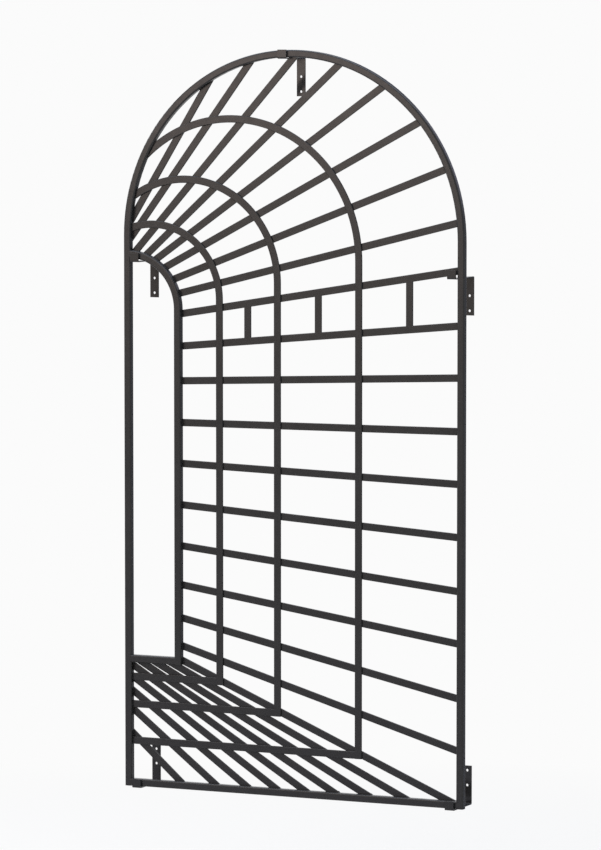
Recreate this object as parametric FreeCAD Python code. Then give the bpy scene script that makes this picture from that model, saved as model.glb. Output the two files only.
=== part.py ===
"""Wall trellis: a welded steel panel that draws a vaulted passage in perspective.

The square tube frame is a tall rectangle under a half-round arch, with a doorway of the same
tube at its left. Two layers of flat bar fill it: ribs in front, and behind them the rays and
rails that run from the doorway to the frame. Five bent strip hooks hold the panel off a wall.

Millimetres. X runs to the right along the panel, Y runs from the front towards the wall, and Z
runs up. The members are laid out from the middle of the panel's bottom edge, in its front face.
The finished part's origin is on the wall, midway between the two holes of the hook at the crest.
"""
import FreeCAD, Part
import math
import os

from FreeCAD import Vector

# The panel's outline
WIDTH = 1000.0
HEIGHT = 2000.0

# Square tube of the frame and the doorway
TUBE = 20.0
TUBE_CORNER = 4.0
TUBE_WALL = 2.0

# Flat bar of the ribs and the rays, in two layers inside the tube's depth
BAR = 20.0
BAR_THICK = 5.0
BAR_EDGE = 1.5
RIB_FRONT = 9.5
RAY_FRONT = RIB_FRONT + BAR_THICK

# Doorway: middle of its post, of its sill, and the spring and radius of its arch
DOOR_POST_X = -340.0
DOOR_SILL_Z = 349.0
DOOR_SPRING_Z = 1301.0
DOOR_ARCH_RADIUS = 148.0

# Ribs: middle of the leg, radius of the arch, height of its spring, middle of the floor bar
RIBS = {
    "inner_rib": (-218.0, 200.0, 1330.0, 299.4),
    "middle_rib": (-46.0, 274.5, 1378.0, 224.3),
    "outer_rib": (192.0, 374.5, 1441.0, 124.2),
}

# Vault rays: slope, and the direction from the arch's centre to the ray's upper end, in degrees
VAULT_RAYS = (
    (58.0, 122.2),
    (53.0, 106.0),
    (48.0, 90.0),
    (42.0, 74.0),
    (35.0, 57.3),
    (28.0, 40.5),
    (21.0, 23.2),
    (14.0, 5.85),
)

# Wall rails from the top down: slope in degrees, and height at the right stile
UPPER_BAND_RAIL = (9.27, 1423.1)
LOWER_BAND_RAIL = (5.26, 1278.0)
WALL_RAILS = (
    (2.25, 1141.2),
    (0.25, 999.9),
    (-1.76, 860.6),
    (-3.77, 719.8),
    (-5.98, 576.7),
    (-8.28, 437.6),
    (-12.1, 291.6),
    (-16.3, 152.2),
)
CORNER_RAIL = (-22.9, 6.9)
BAND_POSTS_X = (-136.0, 72.0, 337.0)

# Floor slats from the right: slope in degrees, and place along the top of the bottom rail
FLOOR_SLATS = (
    (-25.2, 317.2),
    (-27.2, 211.2),
    (-29.2, 116.0),
    (-31.2, 29.0),
    (-33.1, -56.0),
    (-35.2, -142.7),
    (-37.7, -236.9),
    (-41.1, -340.9),
)

# Hooks of bent strip: a lip in front of the panel, a leg back to the wall, a plate with two holes
STRIP = 25.0
STRIP_THICK = 3.0
STRIP_BEND = 1.5
STRIP_END_EDGE = 0.5
HOOK_LIP = 21.5
HOOK_PLATE = 104.0
HOOK_FRONT = -7.0
WALL_Y = 118.0
HOLE_DIAMETER = 7.0
HOLE_PITCH = 40.0
HOLE_END = 12.5
HOOK_CLEARANCE = 0.2

# Hooks: middle along X, height of the leg's top, and whether the wall plate hangs or stands
HOOKS = {
    "hook_crest": (-24.4, 1979.0, "hangs"),
    "hook_upper_left": (-464.5, 1430.3, "hangs"),
    "hook_upper_right": (466.6, 1404.2, "hangs"),
    "hook_lower_left": (-462.0, -1.0, "stands"),
    "hook_lower_right": (463.5, -1.0, "stands"),
}

# Sizes that follow from those above
HALF_TUBE = TUBE / 2
HALF_BAR = BAR / 2
STILE_X = WIDTH / 2 - HALF_TUBE
STILE_FACE_X = STILE_X - HALF_TUBE
RAIL_TOP_Z = TUBE
ARCH_SPRING_Z = HEIGHT - WIDTH / 2
REACH = 2 * HEIGHT

TOWARDS_WALL = Vector(0, 1, 0)
TURN_AXIS = Vector(0, -1, 0)


def at(x, z):
    """A point in the panel's front face."""
    return Vector(x, 0, z)


def polar(centre, radius, degrees):
    """The point at a radius and direction from a centre, in the panel's plane."""
    turn = math.radians(degrees)
    return centre + Vector(math.cos(turn), 0, math.sin(turn)) * radius


ARCH_CENTRE = at(0, ARCH_SPRING_Z)
DOOR_ARCH_CENTRE = at(DOOR_POST_X - DOOR_ARCH_RADIUS, DOOR_SPRING_Z)


def rounded_face(points, radii):
    """A flat face with straight sides between points, each corner rounded by its radius."""
    arcs = []
    for i, (corner, radius) in enumerate(zip(points, radii)):
        back = (points[i - 1] - corner).normalize()
        ahead = (points[(i + 1) % len(points)] - corner).normalize()
        half_angle = back.getAngle(ahead) / 2
        tangent = radius / math.tan(half_angle)
        inward = (back + ahead).normalize()
        middle = corner + inward * (radius / math.sin(half_angle) - radius)
        arcs.append((corner + back * tangent, middle, corner + ahead * tangent))
    edges = []
    for i, (start, middle, end) in enumerate(arcs):
        edges.append(Part.LineSegment(arcs[i - 1][2], start).toShape())
        edges.append(Part.Arc(start, middle, end).toShape())
    return Part.Face(Part.Wire(edges))


def section(middle, across, width, front, depth, corner):
    """A bar's rounded section: width along across, depth from front towards the wall."""
    side = across * (width / 2)
    near = TOWARDS_WALL * front
    far = TOWARDS_WALL * (front + depth)
    points = [middle - side + near, middle + side + near, middle + side + far, middle - side + far]
    return rounded_face(points, [corner] * len(points))


def tube_section(middle, across):
    """The whole section of the square tube, with no bore."""
    return section(middle, across, TUBE, 0.0, TUBE, TUBE_CORNER)


def bore_section(middle, across):
    """The section of the square tube's bore."""
    bore = TUBE - 2 * TUBE_WALL
    return section(middle, across, bore, TUBE_WALL, bore, TUBE_CORNER - TUBE_WALL)


def rib_section(middle, across):
    """Flat bar in the front layer."""
    return section(middle, across, BAR, RIB_FRONT, BAR_THICK, BAR_EDGE)


def ray_section(middle, across):
    """Flat bar in the back layer."""
    return section(middle, across, BAR, RAY_FRONT, BAR_THICK, BAR_EDGE)


def straight(profile, start, end):
    """A section carried along a straight line."""
    along = end - start
    across = along.cross(TOWARDS_WALL).normalize()
    return profile(start, across).extrude(along)


def arched(profile, centre, radius, last):
    """A section carried round a centre, from the right hand side up to a direction in degrees."""
    start = polar(centre, radius, 0)
    across = (start - centre).normalize()
    return profile(start, across).revolve(centre, TURN_AXIS, last)


def slab(left, right, bottom, top):
    """A block through the panel's whole depth."""
    corner = Vector(left, -TUBE, bottom)
    return Part.makeBox(right - left, 3 * TUBE, top - bottom, corner)


def disc(centre, radius):
    """A round block through the panel's whole depth."""
    return Part.makeCylinder(radius, 3 * TUBE, centre - TOWARDS_WALL * TUBE, TOWARDS_WALL)


def largest_solid(shape):
    """The largest solid of a cut shape."""
    return max(shape.Solids, key=lambda solid: solid.Volume)


def left_stile(profile):
    """Left upright of the frame, up to the spring of the arch."""
    return straight(profile, at(-STILE_X, 0), at(-STILE_X, ARCH_SPRING_Z))


def right_stile(profile):
    """Right upright of the frame, up to the spring of the arch."""
    return straight(profile, at(STILE_X, 0), at(STILE_X, ARCH_SPRING_Z))


def outer_arch(profile):
    """Half-round top of the frame, on the two stiles."""
    return arched(profile, ARCH_CENTRE, STILE_X, 180)


def bottom_rail(profile):
    """Bottom of the frame, between the middles of the stiles."""
    return straight(profile, at(-STILE_X, HALF_TUBE), at(STILE_X, HALF_TUBE))


def doorway_post(profile):
    """Upright of the doorway, from the sill's underside to the spring of its arch."""
    return straight(profile, at(DOOR_POST_X, DOOR_SILL_Z - HALF_TUBE), at(DOOR_POST_X, DOOR_SPRING_Z))


def doorway_arch(profile):
    """Quarter-round top of the doorway, from its post to the middle of the left stile."""
    half_ring = arched(profile, DOOR_ARCH_CENTRE, DOOR_ARCH_RADIUS, 180)
    return half_ring.common(slab(-STILE_X, DOOR_POST_X + TUBE, 0, HEIGHT))


def doorway_sill(profile):
    """Threshold of the doorway, between the middles of the left stile and the post."""
    return straight(profile, at(-STILE_X, DOOR_SILL_Z), at(DOOR_POST_X, DOOR_SILL_Z))


# Each tube, with the tubes that it is coped against
TUBES = {
    left_stile: (),
    right_stile: (),
    outer_arch: (),
    bottom_rail: (left_stile, right_stile),
    doorway_post: (),
    doorway_arch: (left_stile,),
    doorway_sill: (left_stile, doorway_post),
}


def frame_tubes():
    """The hollow tubes of the frame and the doorway, by name."""
    made = {}
    for tube, neighbours in TUBES.items():
        shape = tube(tube_section).cut(tube(bore_section))
        for neighbour in neighbours:
            shape = shape.cut(neighbour(tube_section))
        made[tube.__name__] = largest_solid(shape)
    return made


def lattice_field():
    """The space that the flat bars may fill: inside the frame's tubes and outside the doorway."""
    field = slab(-STILE_X, STILE_X, HALF_TUBE, ARCH_SPRING_Z).fuse(disc(ARCH_CENTRE, STILE_X))
    doorway = slab(-STILE_X, DOOR_POST_X, DOOR_SILL_Z, DOOR_SPRING_Z)
    field = field.cut(doorway.fuse(disc(DOOR_ARCH_CENTRE, DOOR_ARCH_RADIUS)))
    for tube in TUBES:
        field = field.cut(tube(tube_section))
    return field


def ribs(field):
    """The three ribs of the front layer: an arch, a leg and a floor bar each."""
    made = {}
    for name, (leg_x, radius, spring_z, floor_z) in RIBS.items():
        arch = arched(rib_section, at(leg_x - radius, spring_z), radius, 180)
        leg = straight(rib_section, at(leg_x, floor_z - HALF_BAR), at(leg_x, spring_z))
        floor_bar = straight(rib_section, at(-STILE_X, floor_z), at(leg_x, floor_z))
        made[name + "_arch"] = largest_solid(arch.common(field))
        made[name + "_leg"] = leg
        made[name + "_floor_bar"] = largest_solid(floor_bar.common(field).cut(leg))
    return made


def lattice_bar(point, slope, field):
    """A flat bar of the back layer along a sloping line, as far as the tubes round it."""
    along = polar(at(0, 0), REACH, slope)
    bar = straight(ray_section, point - along, point + along)
    return largest_solid(bar.common(field))


def wall_rail(rail, field):
    """A wall rail from its slope and its height at the right stile."""
    slope, height = rail
    return lattice_bar(at(STILE_FACE_X, height), slope, field)


def rail_height(rail, x):
    """Height of a wall rail's middle line at a place along the panel."""
    slope, height = rail
    return height + (x - STILE_FACE_X) * math.tan(math.radians(slope))


def back_layer(field):
    """The rays, rails, short posts and slats behind the ribs, by name."""
    made = {}
    for i, (slope, direction) in enumerate(VAULT_RAYS, 1):
        upper_end = polar(ARCH_CENTRE, STILE_FACE_X, direction)
        made[f"vault_ray_{i}"] = lattice_bar(upper_end, slope, field)
    made["upper_band_rail"] = wall_rail(UPPER_BAND_RAIL, field)
    made["lower_band_rail"] = wall_rail(LOWER_BAND_RAIL, field)
    for i, x in enumerate(BAND_POSTS_X, 1):
        foot = at(x, rail_height(LOWER_BAND_RAIL, x))
        head = at(x, rail_height(UPPER_BAND_RAIL, x))
        post = straight(ray_section, foot, head)
        post = post.cut(made["lower_band_rail"]).cut(made["upper_band_rail"])
        made[f"band_post_{i}"] = largest_solid(post)
    for i, rail in enumerate(WALL_RAILS, 1):
        made[f"wall_rail_{i}"] = wall_rail(rail, field)
    made["corner_rail"] = wall_rail(CORNER_RAIL, field)
    for i, (slope, x) in enumerate(FLOOR_SLATS, 1):
        made[f"floor_slat_{i}"] = lattice_bar(at(x, RAIL_TOP_Z), slope, field)
    return made


def hook_outline(leg_top, plate):
    """A hook's side outline as (y, z, corner radius), going round from the lip's front top."""
    lip_back = HOOK_FRONT + STRIP_THICK
    plate_front = WALL_Y - STRIP_THICK
    leg_bottom = leg_top - STRIP_THICK
    inner, outer, end = STRIP_BEND, STRIP_BEND + STRIP_THICK, STRIP_END_EDGE
    lip = [
        (HOOK_FRONT, leg_top + HOOK_LIP, end),
        (lip_back, leg_top + HOOK_LIP, end),
        (lip_back, leg_top, inner),
    ]
    if plate == "hangs":
        free_end = leg_top - HOOK_PLATE
        back = [
            (WALL_Y, leg_top, outer),
            (WALL_Y, free_end, end),
            (plate_front, free_end, end),
            (plate_front, leg_bottom, inner),
        ]
    else:
        free_end = leg_bottom + HOOK_PLATE
        back = [
            (plate_front, leg_top, inner),
            (plate_front, free_end, end),
            (WALL_Y, free_end, end),
            (WALL_Y, leg_bottom, outer),
        ]
    return lip + back + [(HOOK_FRONT, leg_bottom, outer)]


def hole_heights(leg_top, plate):
    """Heights of a hook's two screw holes, counted from its plate's free end."""
    if plate == "hangs":
        first = leg_top - HOOK_PLATE + HOLE_END
        return first, first + HOLE_PITCH
    first = leg_top - STRIP_THICK + HOOK_PLATE - HOLE_END
    return first, first - HOLE_PITCH


def hooks():
    """The five bent strip hooks with their screw holes, by name; the arch sits in the crest's leg."""
    made = {}
    for name, (x, leg_top, plate) in HOOKS.items():
        left = x - STRIP / 2
        outline = hook_outline(leg_top, plate)
        points = [Vector(left, y, z) for y, z, radius in outline]
        radii = [radius for y, z, radius in outline]
        hook = rounded_face(points, radii).extrude(Vector(STRIP, 0, 0))
        for z in hole_heights(leg_top, plate):
            mouth = Vector(x, WALL_Y - 2 * STRIP_THICK, z)
            hook = hook.cut(Part.makeCylinder(HOLE_DIAMETER / 2, 3 * STRIP_THICK, mouth, TOWARDS_WALL))
        made[name] = largest_solid(hook)
    made["hook_crest"] = largest_solid(made["hook_crest"].cut(outer_arch(tube_section)))
    return made


def crest_notch():
    """Room for the crest hook's leg at the corner of the ray that runs beside it."""
    x, leg_top, plate = HOOKS["hook_crest"]
    half = STRIP / 2 + HOOK_CLEARANCE
    bottom = leg_top - STRIP_THICK - HOOK_CLEARANCE
    return slab(x - half, x + half, bottom, leg_top + HOOK_CLEARANCE)


def wall_origin():
    """The point of the wall midway between the crest hook's two holes."""
    x, leg_top, plate = HOOKS["hook_crest"]
    return Vector(x, WALL_Y, sum(hole_heights(leg_top, plate)) / 2)


def main():
    field = lattice_field()
    pieces = frame_tubes()
    pieces.update(ribs(field))
    pieces.update(back_layer(field.cut(crest_notch())))
    pieces.update(hooks())
    os.makedirs("parts", exist_ok=True)
    for name, shape in pieces.items():
        if not shape.isValid():
            raise ValueError(name + " is not a sound solid")
        shape.translate(wall_origin() * -1)
        shape.exportStep("parts/" + name + ".step")
    print(len(pieces), "pieces")


main()
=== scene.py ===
"""Looks of the wall trellis: powder coat on every member, weld beads at its back, and its stage."""

import math
from collections import namedtuple

import bpy
import numpy as np
from bpy.props import FloatProperty, FloatVectorProperty, PointerProperty
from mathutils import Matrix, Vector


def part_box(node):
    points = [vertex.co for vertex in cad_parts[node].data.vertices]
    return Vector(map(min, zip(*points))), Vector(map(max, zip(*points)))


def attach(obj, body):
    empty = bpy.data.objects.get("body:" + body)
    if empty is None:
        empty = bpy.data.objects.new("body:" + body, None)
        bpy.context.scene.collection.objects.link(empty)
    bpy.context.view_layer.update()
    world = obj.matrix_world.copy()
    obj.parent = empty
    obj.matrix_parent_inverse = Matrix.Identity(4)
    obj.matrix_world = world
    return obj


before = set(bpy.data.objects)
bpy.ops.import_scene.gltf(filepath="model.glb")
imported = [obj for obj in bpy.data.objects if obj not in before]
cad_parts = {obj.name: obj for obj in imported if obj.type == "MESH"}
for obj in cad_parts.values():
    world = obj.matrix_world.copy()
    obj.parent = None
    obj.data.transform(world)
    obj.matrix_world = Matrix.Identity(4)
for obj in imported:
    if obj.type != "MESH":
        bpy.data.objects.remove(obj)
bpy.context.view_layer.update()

bl_info = {
    "name": "Wall Trellis",
    "version": (1, 0, 0),
    "blender": (4, 5, 0),
    "location": "View3D > Sidebar > Trellis",
    "description": "Finishes an arched wall trellis: powder coat, weld beads and a studio stage",
    "category": "Object",
}

ROOT = "root"

# Members of the trellis by kind, as the frame names them
NODE_NAMES = sorted(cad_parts)
HOOK_NAMES = [name for name in NODE_NAMES if name.startswith("hook_")]
RIB_NAMES = [name for name in NODE_NAMES if "_rib_" in name]
TUBE_STARTS = ("left_", "right_", "outer_arch", "bottom_", "doorway_")
TUBE_NAMES = [name for name in NODE_NAMES if name.startswith(TUBE_STARTS)]
BAR_NAMES = [name for name in NODE_NAMES if name not in HOOK_NAMES + RIB_NAMES + TUBE_NAMES]
RIB_FAMILIES = ("inner_rib", "middle_rib", "outer_rib")

# Tubes that end at the side of an upright, with the ends that are welded to it
TUBE_JOINTS = {
    "bottom_rail": ("left", "right"),
    "doorway_sill": ("left", "right"),
    "doorway_arch": ("left",),
}

# Sockets of a colour Mix node, whose names repeat
MIX_SHARE, MIX_FIRST, MIX_SECOND, MIX_RESULT = 0, 6, 7, 2

# A share, from none to all
WHOLE = (0.0, 1.0)

# The coat's gloss, and how far its roughness strays either way
COAT_IOR = 1.45
COAT_SPECULAR = 0.28
GLOSS_SPREAD = (-0.05, 0.07)

# Patterns of the coat: patches per metre and levels of detail, and the span of noise that they use
CLOUDS = (9.0, 4.0)
SMUDGES = (60.0, 3.0)
NOISE_SPAN = (0.3, 0.7)

# Levels of detail of the orange peel and the speckle, and the dimples that a speck is wide
PEEL_DETAIL = 2.0
SPECKLE_DETAIL = 3.0
SPECKLE_GRAINS = 3

# Tones of the clouds, and of the rounded edges' painted highlight and thin coat, as shares of the coat's
# colour
CLOUD_TONES = (0.88, 1.12)
EDGE_TONE = 2.1

# Painted highlight and thin coat on rounded edges: samples of the rounded edge, the bend's cosine where
# it starts and where it is full, and its share by speckle
EDGE_SAMPLES = 4
EDGE_BEND = (0.99, 0.86)
SHEEN_AND_WEAR_SPAN = (0.45, 0.7)
SHEEN_AND_WEAR_SHARE = (0.05, 0.25)

# Dust and painted sky light on faces that look up: how far up a face looks, from the first to the most,
# with its share, and its patches by speckle
DUST_AND_SKY_COLOUR = (0.16, 0.165, 0.175)
DUST_AND_SKY_SLOPE = (0.35, 1.0)
DUST_AND_SKY_SHARE = (0.0, 0.12)
DUST_AND_SKY_SPAN = (0.35, 0.65)
DUST_AND_SKY_PATCHES = (0.6, 1.0)

# Weld beads by kind: width and height as shares of the settings', and the share of the set height
# by which the middle line is sunk in the steel
BeadKind = namedtuple("BeadKind", "wide high sunk")
END_BEAD = BeadKind(wide=1.0, high=1.0, sunk=0.3)
TUBE_BEAD = BeadKind(wide=1.2, high=0.7, sunk=0.0)
TACK_BEAD = BeadKind(wide=0.8, high=1.4, sunk=0.2)

# Share of a bar's width that the bead across its end leaves free at either side
END_INSET = 0.14

# Fineness of a bead: sides round it, rows along each ripple, and the fewest rows
BEAD_SIDES = 12
RIPPLE_ROWS = 4
LEAST_ROWS = 8

# Form of a bead: how far a ripple swells it, a slow swell along it and the radians that this turns,
# a ripple's lean as a share of its pitch, and the power by which the ends are blunt
RIPPLE_SWELL = 0.10
SLOW_SWELL = 0.05
SLOW_TURN = 9.1
RIPPLE_LEAN = 0.35
END_POWER = 6

# Step along a bar's edges when its crossings are sought, and how far points of one plane may differ
EDGE_STEP = 0.0005
SAME_PLANE = 1e-5

# Lamps, in metres from the middle of the panel's bottom edge: right, towards the wall, up
KEY_LAMP = {
    "place": (-1.7, -3.6, 2.6),
    "target": (-1.0, 0.0, 2.6),
    "size": (3.4, 2.0),
    "colour": (1.0, 0.805, 0.71),
}
FADE_LAMP = {
    "place": (-1.7, -3.6, 1.3),
    "target": (-1.7, 0.0, 1.3),
    "size": (3.4, 0.8),
    "colour": (1.0, 0.70, 0.50),
}
SKY_LAMP = {
    "place": (-0.3, -0.6, 5.2),
    "target": (-0.3, -0.59, 1.0),
    "size": (8.0, 5.0),
    "colour": (0.72, 0.83, 1.0),
}

# Reflector cards, in metres from the same point, and their glow: the upright ones stand at one
# distance behind the panel, and the flat ones lie a little above the floor
CARD_AWAY = 4.5
CARD_LIFT = 0.005
SIDE_GLOW = (0.30, 0.31, 0.36)
UPRIGHT_CARDS = {
    "side_card": {"across": (0.5, 4.8), "upward": (-0.28, 2.1), "colour": SIDE_GLOW},
    "blue_card": {"across": (0.5, 4.8), "upward": (2.1, 6.5), "colour": (0.72, 0.72, 0.92)},
    "dim_card": {"across": (-1.8, 0.5), "upward": (2.9, 6.5), "colour": (0.16, 0.16, 0.21)},
}
FLAT_CARDS = {
    "front_card": {"across": (-3.2, 0.6), "away": (-4.5, -0.8), "colour": (0.98, 0.98, 1.11)},
    "low_card": {"across": (0.5, 4.8), "away": (0.9, CARD_AWAY), "colour": SIDE_GLOW},
}

# Floor: half its side, its roughness, and where it is seen the distances from the origin over which
# it turns white, with the share of white at the near and the far one
FLOOR_REACH = 400.0
FLOOR_ROUGHNESS = 0.9
FLOOR_FADE = (2.2, 3.4)
FLOOR_WHITE = (0.70, 1.0)

# Camera, fitted to the photograph: place from the same point as the lamps, degrees down and left,
# and how far it sees
CAMERA_PLACE = (5.63333, -12.03254, 2.09011)
CAMERA_DIP = 4.6809
CAMERA_TURN = 24.9801
CAMERA_SIGHT = 500.0


def panel_origin():
    """The middle of the panel's bottom edge, in its front face, from the two stiles' boxes."""
    left_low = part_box("left_stile")[0]
    right_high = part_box("right_stile")[1]
    return np.array(((left_low.x + right_high.x) / 2, left_low.y, left_low.z))


PANEL = panel_origin()


class TrellisCoat(bpy.types.PropertyGroup):
    """Powder coat of the panel and its hooks."""

    panel_colour: FloatVectorProperty(
        name="Panel colour", description="Colour of the panel's powder coat",
        subtype="COLOR", size=3, min=0.0, max=1.0, default=(0.0200, 0.0198, 0.0200))
    hook_colour: FloatVectorProperty(
        name="Hook colour", description="Colour of the hooks' powder coat",
        subtype="COLOR", size=3, min=0.0, max=1.0, default=(0.0195, 0.0194, 0.0196))
    roughness: FloatProperty(
        name="Roughness", description="Mean roughness of the satin coat",
        min=0.0, max=1.0, default=0.23)
    hook_roughness: FloatProperty(
        name="Hook roughness", description="Mean roughness of the hooks' smoother coat",
        min=0.0, max=1.0, default=0.14)
    grain: FloatProperty(
        name="Orange peel", description="Width of one dimple of the coat's orange peel",
        subtype="DISTANCE", unit="LENGTH", default=0.0014)
    grain_height: FloatProperty(
        name="Peel height", description="Height of the orange peel",
        subtype="DISTANCE", unit="LENGTH", default=0.00003)
    # The lighter rounded edges are painted highlight as well as thin coat; this radius sets how far in
    # they reach.
    edge_radius: FloatProperty(
        name="Edge wear radius", description="How far the thin coat reaches in from an edge",
        subtype="DISTANCE", unit="LENGTH", default=0.0012)


class TrellisWelds(bpy.types.PropertyGroup):
    """Weld beads at the back of the panel."""

    bead_width: FloatProperty(
        name="Bead width", description="Width of a weld bead at a bar's end",
        subtype="DISTANCE", unit="LENGTH", default=0.0050)
    bead_height: FloatProperty(
        name="Bead height", description="Height of a bar end's bead over its middle line",
        subtype="DISTANCE", unit="LENGTH", default=0.0015)
    ripple_pitch: FloatProperty(
        name="Ripple pitch", description="Distance from one ripple of a bead to the next",
        subtype="DISTANCE", unit="LENGTH", default=0.0021)
    tack_length: FloatProperty(
        name="Tack length", description="Length of the tack weld where a bar crosses a rib",
        subtype="DISTANCE", unit="LENGTH", default=0.0130)


class TrellisStage(bpy.types.PropertyGroup):
    """Floor, lamps and camera."""

    floor_drop: FloatProperty(
        name="Floor drop", description="Height of the panel's bottom edge above the floor",
        subtype="DISTANCE", unit="LENGTH", default=0.30)
    floor_colour: FloatVectorProperty(
        name="Floor colour", description="Colour of the pale floor",
        subtype="COLOR", size=3, min=0.0, max=1.0, default=(0.96, 0.92, 0.86))
    key_power: FloatProperty(
        name="Key power", description="Power of the warm softbox that the front faces mirror",
        subtype="POWER", unit="POWER", default=77.0)
    fade_power: FloatProperty(
        name="Fade power", description="Power of the weak softbox below the key, where its image fades",
        subtype="POWER", unit="POWER", default=6.0)
    sky_power: FloatProperty(
        name="Sky power", description="Power of the cool lamp overhead",
        subtype="POWER", unit="POWER", default=390.0)
    ambient: FloatProperty(
        name="Ambient", description="Strength of the even light all round",
        min=0.0, max=2.0, default=0.285)
    white: FloatProperty(
        name="White", description="Brightness of the white background where it is seen",
        min=0.0, max=1.0, default=0.965)
    lens: FloatProperty(
        name="Lens", description="Focal length of the camera on a 36 mm sensor",
        subtype="DISTANCE_CAMERA", default=211.745)


def placed(name, data):
    """A new object in the scene, at the origin."""
    made = bpy.data.objects.new(name, data)
    bpy.context.scene.collection.objects.link(made)
    return made


def new_material(name):
    """A new material and its node tree."""
    material = bpy.data.materials.new(name)
    material.use_nodes = True
    return material, material.node_tree


def link(tree, source, target):
    """Joins two sockets of a node tree."""
    tree.links.new(target, source)


def node(tree, kind, **values):
    """A new node with its properties and its input values set by name."""
    made = tree.nodes.new(kind)
    for name, value in values.items():
        if hasattr(made, name):
            setattr(made, name, value)
        else:
            made.inputs[name.replace("_", " ")].default_value = value
    return made


def noise(tree, place, scale, detail):
    """A noise pattern in the object's own space: scale is patches per metre."""
    made = node(tree, "ShaderNodeTexNoise", Scale=scale, Detail=detail)
    link(tree, place, made.inputs["Vector"])
    return made.outputs["Fac"]


def remap(tree, value, span, target):
    """A value carried from one span to another, held at the ends."""
    made = node(tree, "ShaderNodeMapRange",
                From_Min=span[0], From_Max=span[1], To_Min=target[0], To_Max=target[1])
    link(tree, value, made.inputs["Value"])
    return made.outputs["Result"]


def maths(tree, operation, first, second):
    """Two values put together by an operation."""
    made = node(tree, "ShaderNodeMath", operation=operation)
    link(tree, first, made.inputs[0])
    link(tree, second, made.inputs[1])
    return made.outputs["Value"]


def mixed(tree, share, first, second):
    """Two colours mixed by a share: the first is a socket or a plain colour, the second a plain one."""
    made = node(tree, "ShaderNodeMix", data_type="RGBA")
    link(tree, share, made.inputs[MIX_SHARE])
    if isinstance(first, bpy.types.NodeSocket):
        link(tree, first, made.inputs[MIX_FIRST])
    else:
        made.inputs[MIX_FIRST].default_value = (*first, 1)
    made.inputs[MIX_SECOND].default_value = (*second, 1)
    return made.outputs[MIX_RESULT]


def toned(colour, share):
    """A colour made darker or lighter by a share."""
    return [part * share for part in colour]


def clouded(tree, place, colour):
    """The coat's colour in faint clouds."""
    darkest, lightest = [toned(colour, share) for share in CLOUD_TONES]
    clouds = remap(tree, noise(tree, place, *CLOUDS), NOISE_SPAN, WHOLE)
    return mixed(tree, clouds, darkest, lightest)


def edge_sheen_and_wear(tree, normal, speckle):
    """The share of painted highlight and thin coat: where a rounded edge's normal bends from the true
    one, in specks.
    """
    coat = bpy.context.scene.trellis_coat
    rounded = node(tree, "ShaderNodeBevel", samples=EDGE_SAMPLES, Radius=coat.edge_radius)
    bend = node(tree, "ShaderNodeVectorMath", operation="DOT_PRODUCT")
    link(tree, rounded.outputs["Normal"], bend.inputs[0])
    link(tree, normal, bend.inputs[1])
    edge = remap(tree, bend.outputs["Value"], EDGE_BEND, WHOLE)
    return maths(tree, "MULTIPLY", edge, remap(tree, speckle, SHEEN_AND_WEAR_SPAN, SHEEN_AND_WEAR_SHARE))


def dust_and_sky_cover(tree, normal, speckle):
    """The share of dust and painted sky light: on faces that look up, in patches."""
    facing = node(tree, "ShaderNodeSeparateXYZ")
    link(tree, normal, facing.inputs[0])
    upward_share = remap(tree, facing.outputs["Z"], DUST_AND_SKY_SLOPE, DUST_AND_SKY_SHARE)
    return maths(tree, "MULTIPLY", upward_share, remap(tree, speckle, DUST_AND_SKY_SPAN, DUST_AND_SKY_PATCHES))


def powder_coat(name, colour, roughness):
    """Satin powder coat: orange peel, cloudy gloss, painted highlight and thin coat on the edges, and
    dust with painted sky light on top.
    """
    coat = bpy.context.scene.trellis_coat
    material, tree = new_material(name)
    shader = tree.nodes["Principled BSDF"]
    shader.inputs["IOR"].default_value = COAT_IOR
    shader.inputs["Specular IOR Level"].default_value = COAT_SPECULAR
    place = node(tree, "ShaderNodeTexCoord").outputs["Object"]
    normal = node(tree, "ShaderNodeNewGeometry").outputs["Normal"]
    speckle = noise(tree, place, 1.0 / (SPECKLE_GRAINS * coat.grain), SPECKLE_DETAIL)

    # Rounded edges made lighter in specks: painted highlight, and thin coat.
    sheen_and_wear = edge_sheen_and_wear(tree, normal, speckle)
    edged = mixed(tree, sheen_and_wear, clouded(tree, place, colour), toned(colour, EDGE_TONE))
    # Bluish grey on faces that look up: dust, and painted light from the sky above.
    dust_and_sky_lit = mixed(tree, dust_and_sky_cover(tree, normal, speckle), edged, DUST_AND_SKY_COLOUR)
    link(tree, dust_and_sky_lit, shader.inputs["Base Color"])

    spread = [roughness + stray for stray in GLOSS_SPREAD]
    gloss = remap(tree, noise(tree, place, *SMUDGES), NOISE_SPAN, spread)
    link(tree, gloss, shader.inputs["Roughness"])

    bump = node(tree, "ShaderNodeBump", Strength=1.0, Distance=coat.grain_height)
    link(tree, noise(tree, place, 1.0 / coat.grain, PEEL_DETAIL), bump.inputs["Height"])
    link(tree, bump.outputs["Normal"], shader.inputs["Normal"])
    return material


def coated(name, colour, roughness):
    """The named powder coat, made once."""
    return bpy.data.materials.get(name) or powder_coat(name, colour, roughness)


def panel_coat():
    """The coat of the panel's members and weld beads."""
    coat = bpy.context.scene.trellis_coat
    return coated("panel_powder_coat", coat.panel_colour, coat.roughness)


def hook_coat():
    """The coat of the hooks."""
    coat = bpy.context.scene.trellis_coat
    return coated("hook_powder_coat", coat.hook_colour, coat.hook_roughness)


def dress(names, material):
    """Gives the members their coat."""
    for name in names:
        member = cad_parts[name]
        member.data.materials.clear()
        member.data.materials.append(material)


def new_piece(name, points, faces, material):
    """A smooth mesh piece from whole arrays of points and faces, riding on the panel."""
    mesh = bpy.data.meshes.new(name)
    mesh.from_pydata(points.tolist(), [], faces.tolist())
    mesh.shade_smooth()
    mesh.materials.append(material)
    mesh.update()
    piece = placed(name, mesh)
    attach(piece, ROOT)


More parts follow.
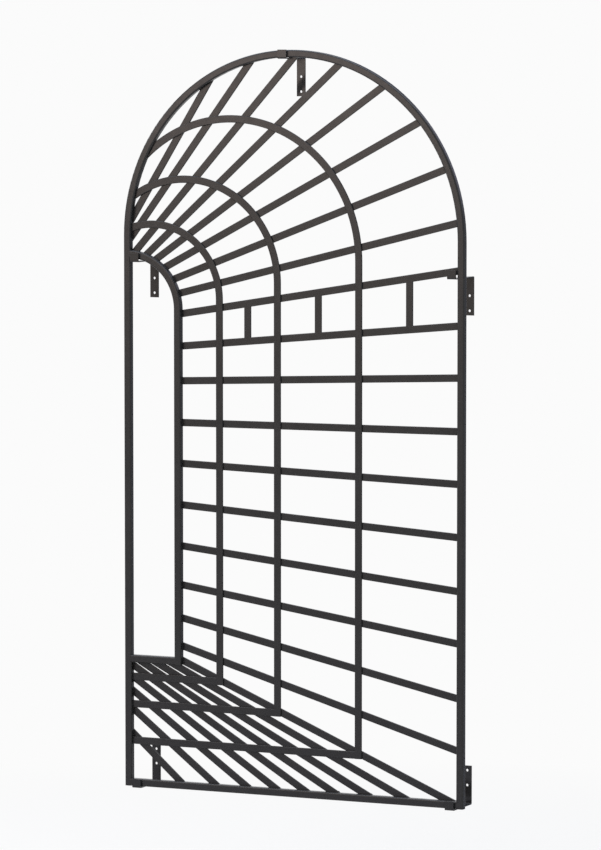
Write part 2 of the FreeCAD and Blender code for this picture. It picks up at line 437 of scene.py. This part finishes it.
class BarLine:
    """A straight flat bar's middle line, read from the corners of its flat back face."""

    def __init__(self, name):
        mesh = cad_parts[name].data
        points = np.zeros(len(mesh.vertices) * 3)
        mesh.vertices.foreach_get("co", points)
        points = points.reshape(-1, 3)
        self.back = points[:, 1].max()
        face = points[points[:, 1] > self.back - SAME_PLANE][:, [0, 2]]
        middle = face.mean(axis=0)
        along = np.linalg.svd(face - middle, full_matrices=False)[2][0]
        across = np.array((-along[1], along[0]))
        reach = (face - middle) @ along
        side = (face - middle) @ across
        centre = (side.max() + side.min()) / 2
        self.point = middle + across * centre
        self.along = along
        self.across = across
        self.half_width = (side.max() - side.min()) / 2
        self.ends = []
        for half in (side < centre, side > centre):
            self.ends.append((reach[half].min(), reach[half].max()))

    def at(self, reach, side):
        """A point of the back face, in the panel's plane."""
        return self.point + self.along * reach + self.across * side

    def covers(self, points):
        """Which points of the panel's plane lie on the bar."""
        away = points - self.point
        reach = away @ self.along
        first = min(start for start, stop in self.ends)
        last = max(stop for start, stop in self.ends)
        return (np.abs(away @ self.across) < self.half_width) & (reach > first) & (reach < last)

    def edges(self):
        """Points at even steps along the bar's two long edges."""
        for (start, stop), side in zip(self.ends, (-self.half_width, self.half_width)):
            yield self.at(np.arange(start, stop, EDGE_STEP)[:, None], side)

    def end_edge(self, end):
        """The two back corners of one end of the bar: 0 is its first end and 1 its last."""
        low = self.at(self.ends[0][end], -self.half_width)
        high = self.at(self.ends[1][end], self.half_width)
        return low, high


class RibArc:
    """A rib's round arch, read from its own box and the box of the leg below it."""

    def __init__(self, family):
        arch_low, arch_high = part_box(family + "_arch")
        leg_low, leg_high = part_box(family + "_leg")
        self.back = arch_high.y
        self.outer = arch_high.z - leg_high.z
        self.inner = self.outer - (leg_high.x - leg_low.x)
        self.centre = np.array((leg_high.x - self.outer, leg_high.z))
        self.low = np.array((arch_low.x, arch_low.z))

    def covers(self, points):
        """Which points of the panel's plane lie on the arch."""
        apart = np.linalg.norm(points - self.centre, axis=1)
        return (apart > self.inner) & (apart < self.outer) & (points > self.low).all(axis=1)


def rib_crossings(bar, ribs, least):
    """The stretches of a bar's edges that lie on a rib, with that rib, where they are long enough."""
    for edge in bar.edges():
        for rib in ribs:
            crossing = edge[rib.covers(edge)]
            if len(crossing) * EDGE_STEP >= least:
                yield crossing, rib


def bead(kind, start, end, back, seed):
    """A rippled weld bead along a line in the panel's plane, as a closed sleeve of points and faces.

    Along u from 0 to 1 and round v from 0 to 2 pi, a point is the line's point, plus width / 2 times
    cos v across the line, plus height times sin v towards the wall, halved where that is negative.
    Both grow from a pole at the start and shrink to one at the end, and swell by a tenth with each
    ripple and by half as much in a slow wave. The ripples lean towards the end by a third of their
    pitch.
    """
    welds = bpy.context.scene.trellis_welds
    pitch = welds.ripple_pitch
    depth = back - welds.bead_height * kind.sunk
    along = end - start
    length = np.linalg.norm(along)
    along = along / length
    across = np.array((-along[1], along[0]))
    rows = max(LEAST_ROWS, int(length / pitch * RIPPLE_ROWS))
    u = np.linspace(0.0, 1.0, rows + 2)[1:-1, None]
    v = np.linspace(0.0, 2 * math.pi, BEAD_SIDES, endpoint=False)[None, :]
    ripple = RIPPLE_SWELL * np.sin(2 * math.pi * u * length / pitch + seed)
    slow = SLOW_SWELL * np.sin(SLOW_TURN * u + seed)
    size = np.sqrt(1 - np.abs(2 * u - 1) ** END_POWER) * (1 + ripple + slow)
    run = u * length + RIPPLE_LEAN * pitch * size * np.clip(np.sin(v), 0, 1)
    side = welds.bead_width * kind.wide / 2 * size * np.cos(v)
    rise = np.where(np.sin(v) > 0, np.sin(v), np.sin(v) / 2)
    out = depth + welds.bead_height * kind.high * size * rise
    flat_x = start[0] + along[0] * run + across[0] * side
    flat_z = start[1] + along[1] * run + across[1] * side
    grid = np.stack([flat_x, out, flat_z], axis=-1).reshape(-1, 3)
    poles = np.array([(start[0], depth, start[1]), (end[0], depth, end[1])])
    return np.concatenate([grid, poles]), sleeve_faces(rows, BEAD_SIDES)


def sleeve_faces(rows, sides):
    """Triangles of a closed sleeve: a grid that wraps round, with a fan at each end's pole."""
    index = np.arange(rows * sides).reshape(rows, sides)
    turned = np.roll(index, -1, axis=1)
    first, last = rows * sides, rows * sides + 1
    lower = np.stack([index[:-1], index[1:], turned[1:]], axis=-1).reshape(-1, 3)
    upper = np.stack([index[:-1], turned[1:], turned[:-1]], axis=-1).reshape(-1, 3)
    opening = np.stack([np.full(sides, first), index[0], turned[0]], axis=-1)
    closing = np.stack([np.full(sides, last), turned[-1], index[-1]], axis=-1)
    return np.concatenate([lower, upper, opening, closing])


def joined(parts):
    """Several grids of points and faces as one."""
    points, faces, count = [], [], 0
    for some_points, some_faces in parts:
        points.append(some_points)
        faces.append(some_faces + count)
        count += len(some_points)
    return np.concatenate(points), np.concatenate(faces)


def quad(name, corners):
    """A flat mesh with four corners."""
    mesh = bpy.data.meshes.new(name)
    mesh.from_pydata(np.array(corners).tolist(), [], [(0, 1, 2, 3)])
    return mesh


def seen_ray(tree):
    """1 where the camera, a reflection or glass looks, and 0 for the light that falls on things."""
    path = node(tree, "ShaderNodeLightPath")
    looked = maths(tree, "MAXIMUM", path.outputs["Is Camera Ray"], path.outputs["Is Glossy Ray"])
    return maths(tree, "MAXIMUM", looked, path.outputs["Is Transmission Ray"])


def floor_finish(stage):
    """A matt pale floor, which keeps the panel's shadow and turns white further off where it is seen."""
    material, tree = new_material("pale_floor")
    shader = tree.nodes["Principled BSDF"]
    shader.inputs["Base Color"].default_value = (*stage.floor_colour, 1)
    shader.inputs["Roughness"].default_value = FLOOR_ROUGHNESS
    shader.inputs["Specular IOR Level"].default_value = 0.0
    glow = node(tree, "ShaderNodeEmission", Strength=stage.white)
    apart = node(tree, "ShaderNodeVectorMath", operation="LENGTH")
    link(tree, node(tree, "ShaderNodeTexCoord").outputs["Object"], apart.inputs[0])
    fade = remap(tree, apart.outputs["Value"], FLOOR_FADE, FLOOR_WHITE)
    mix = node(tree, "ShaderNodeMixShader")
    share, matt, white = mix.inputs
    link(tree, maths(tree, "MULTIPLY", seen_ray(tree), fade), share)
    link(tree, shader.outputs[0], matt)
    link(tree, glow.outputs[0], white)
    link(tree, mix.outputs[0], tree.nodes["Material Output"].inputs["Surface"])
    return material


def make_floor(stage):
    """A wide floor below the hanging panel."""
    reach = FLOOR_REACH
    z = PANEL[2] - stage.floor_drop
    corners = [(-reach, -reach, z), (reach, -reach, z), (reach, reach, z), (-reach, reach, z)]
    mesh = quad("floor", corners)
    mesh.materials.append(floor_finish(stage))
    floor = placed("floor", mesh)


def make_world(stage):
    """An even grey light all round, which looks white where it is seen."""
    world = bpy.data.worlds.new("studio")
    bpy.context.scene.world = world
    world.use_nodes = True
    tree = world.node_tree
    strength = remap(tree, seen_ray(tree), WHOLE, (stage.ambient, stage.white))
    link(tree, strength, tree.nodes["Background"].inputs["Strength"])
    tree.nodes["Background"].inputs["Color"].default_value = (1, 1, 1, 1)


def make_lamp(name, power, place, target, size, colour):
    """A soft lamp at a place round the panel, turned to a target."""
    data = bpy.data.lights.new(name, "AREA")
    data.shape = "RECTANGLE"
    data.size, data.size_y = size
    data.energy = power
    data.color = colour
    lamp = placed(name, data)
    lamp.visible_camera = False
    lamp.location = PANEL + np.array(place)
    aim = Vector(np.array(target) - np.array(place))
    lamp.rotation_euler = aim.to_track_quat("-Z", "Y").to_euler()


def make_card(name, corners, colour):
    """A reflector card, which only the coat's gloss sees, to tone faces as a studio's cards do."""
    mesh = quad(name, PANEL + np.array(corners))
    material, tree = new_material(name)
    glow = node(tree, "ShaderNodeEmission", Color=(*colour, 1), Strength=1.0)
    link(tree, glow.outputs[0], tree.nodes["Material Output"].inputs["Surface"])
    mesh.materials.append(material)
    card = placed(name, mesh)
    card.visible_camera = False
    card.visible_diffuse = False
    card.visible_shadow = False
    card.visible_transmission = False


def upright_card(name, across, upward, colour):
    """A reflector card that stands behind the panel."""
    left, right = across
    low, high = upward
    y = CARD_AWAY
    make_card(name, [(left, y, low), (right, y, low), (right, y, high), (left, y, high)], colour)


def flat_card(name, z, across, away, colour):
    """A reflector card that lies just above the floor."""
    left, right = across
    near, far = away
    make_card(name, [(left, near, z), (right, near, z), (right, far, z), (left, far, z)], colour)


def make_camera(stage):
    """The camera at the photograph's place: ahead of the panel, at its right, looking a little down."""
    data = bpy.data.cameras.new("camera")
    data.lens = stage.lens
    data.clip_end = CAMERA_SIGHT
    camera = placed("camera", data)
    camera.location = PANEL + np.array(CAMERA_PLACE)
    camera.rotation_euler = (math.radians(90 - CAMERA_DIP), 0.0, math.radians(CAMERA_TURN))
    bpy.context.scene.camera = camera


class TRELLIS_OT_coat_panel(bpy.types.Operator):
    """Coat the tubes, the ribs and the bars of the panel"""

    bl_idname = "trellis.coat_panel"
    bl_label = "Coat the panel"

    def execute(self, context):
        dress(TUBE_NAMES + RIB_NAMES + BAR_NAMES, panel_coat())
        return {"FINISHED"}


class TRELLIS_OT_coat_hooks(bpy.types.Operator):
    """Coat the hooks that hold the panel off the wall"""

    bl_idname = "trellis.coat_hooks"
    bl_label = "Coat the hooks"

    def execute(self, context):
        dress(HOOK_NAMES, hook_coat())
        return {"FINISHED"}


class TRELLIS_OT_end_welds(bpy.types.Operator):
    """Lay a weld bead across the back of each bar's ends, where it meets a tube"""

    bl_idname = "trellis.end_welds"
    bl_label = "Weld the bars' ends"

    def execute(self, context):
        beads = []
        for seed, name in enumerate(BAR_NAMES):
            line = BarLine(name)
            for end in (0, 1):
                start, finish = line.end_edge(end)
                inset = END_INSET * (finish - start)
                beads.append(bead(END_BEAD, start + inset, finish - inset, line.back, seed))
        new_piece("bar_end_welds", *joined(beads), panel_coat())
        return {"FINISHED"}


class TRELLIS_OT_crossing_tacks(bpy.types.Operator):
    """Lay a short tack weld along each edge of a bar where it crosses behind a rib"""

    bl_idname = "trellis.crossing_tacks"
    bl_label = "Tack the bars to the ribs"

    def execute(self, context):
        length = context.scene.trellis_welds.tack_length
        ribs = []
        for family in RIB_FAMILIES:
            ribs += [RibArc(family), BarLine(family + "_leg"), BarLine(family + "_floor_bar")]
        tacks = []
        for seed, name in enumerate(BAR_NAMES):
            for crossing, rib in rib_crossings(BarLine(name), ribs, length):
                middle = crossing.mean(axis=0)
                run = crossing[-1] - crossing[0]
                half = run / np.linalg.norm(run) * length / 2
                tacks.append(bead(TACK_BEAD, middle - half, middle + half, rib.back, seed))
        if not tacks:
            raise RuntimeError("no bar crosses a rib")
        new_piece("crossing_tacks", *joined(tacks), panel_coat())
        return {"FINISHED"}


class TRELLIS_OT_frame_welds(bpy.types.Operator):
    """Lay a weld bead across the back of the frame's and the doorway's tube joints"""

    bl_idname = "trellis.frame_welds"
    bl_label = "Weld the tubes' joints"

    def execute(self, context):
        margin = context.scene.trellis_welds.bead_width / 2
        beads = []
        for seed, (name, ends) in enumerate(TUBE_JOINTS.items()):
            low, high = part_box(name)
            sides = {"left": low.x, "right": high.x}
            tube = high.y - low.y
            for end in ends:
                bottom = np.array((sides[end], high.z - tube + margin))
                top = np.array((sides[end], high.z - margin))
                beads.append(bead(TUBE_BEAD, bottom, top, high.y, seed))
        new_piece("frame_welds", *joined(beads), panel_coat())
        return {"FINISHED"}


class TRELLIS_OT_stage(bpy.types.Operator):
    """Set the pale floor, the studio lamps, the reflector cards and the camera"""

    bl_idname = "trellis.stage"
    bl_label = "Set the stage"

    def execute(self, context):
        stage = context.scene.trellis_stage
        make_floor(stage)
        make_world(stage)
        make_lamp("key_lamp", stage.key_power, **KEY_LAMP)
        make_lamp("fade_lamp", stage.fade_power, **FADE_LAMP)
        make_lamp("sky_lamp", stage.sky_power, **SKY_LAMP)
        for name, card in UPRIGHT_CARDS.items():
            upright_card(name, **card)
        for name, card in FLAT_CARDS.items():
            flat_card(name, CARD_LIFT - stage.floor_drop, **card)
        make_camera(stage)
        context.scene.view_settings.view_transform = "Standard"
        return {"FINISHED"}


class TRELLIS_PT_panel(bpy.types.Panel):
    """Lists the trellis's finishing steps"""

    bl_label = "Wall Trellis"
    bl_idname = "TRELLIS_PT_panel"
    bl_space_type = "VIEW_3D"
    bl_region_type = "UI"
    bl_category = "Trellis"

    def draw(self, context):
        for step in STEPS:
            self.layout.operator(step.bl_idname)


STEPS = (
    TRELLIS_OT_coat_panel,
    TRELLIS_OT_coat_hooks,
    TRELLIS_OT_end_welds,
    TRELLIS_OT_crossing_tacks,
    TRELLIS_OT_frame_welds,
    TRELLIS_OT_stage,
)
GROUPS = {"trellis_coat": TrellisCoat, "trellis_welds": TrellisWelds, "trellis_stage": TrellisStage}


def register():
    """Registers the settings, the steps and the sidebar panel."""
    for name, group in GROUPS.items():
        bpy.utils.register_class(group)
        setattr(bpy.types.Scene, name, PointerProperty(type=group))
    for step in STEPS:
        bpy.utils.register_class(step)
    bpy.utils.register_class(TRELLIS_PT_panel)


def unregister():
    """Takes away what register added."""
    bpy.utils.unregister_class(TRELLIS_PT_panel)
    for step in reversed(STEPS):
        bpy.utils.unregister_class(step)
    for name, group in GROUPS.items():
        delattr(bpy.types.Scene, name)
        bpy.utils.unregister_class(group)


def main():
    """Runs the steps in order."""
    register()
    bpy.ops.trellis.coat_panel()
    bpy.ops.trellis.coat_hooks()
    bpy.ops.trellis.end_welds()
    bpy.ops.trellis.crossing_tacks()
    bpy.ops.trellis.frame_welds()
    bpy.ops.trellis.stage()


if __name__ == "__main__":
    main()
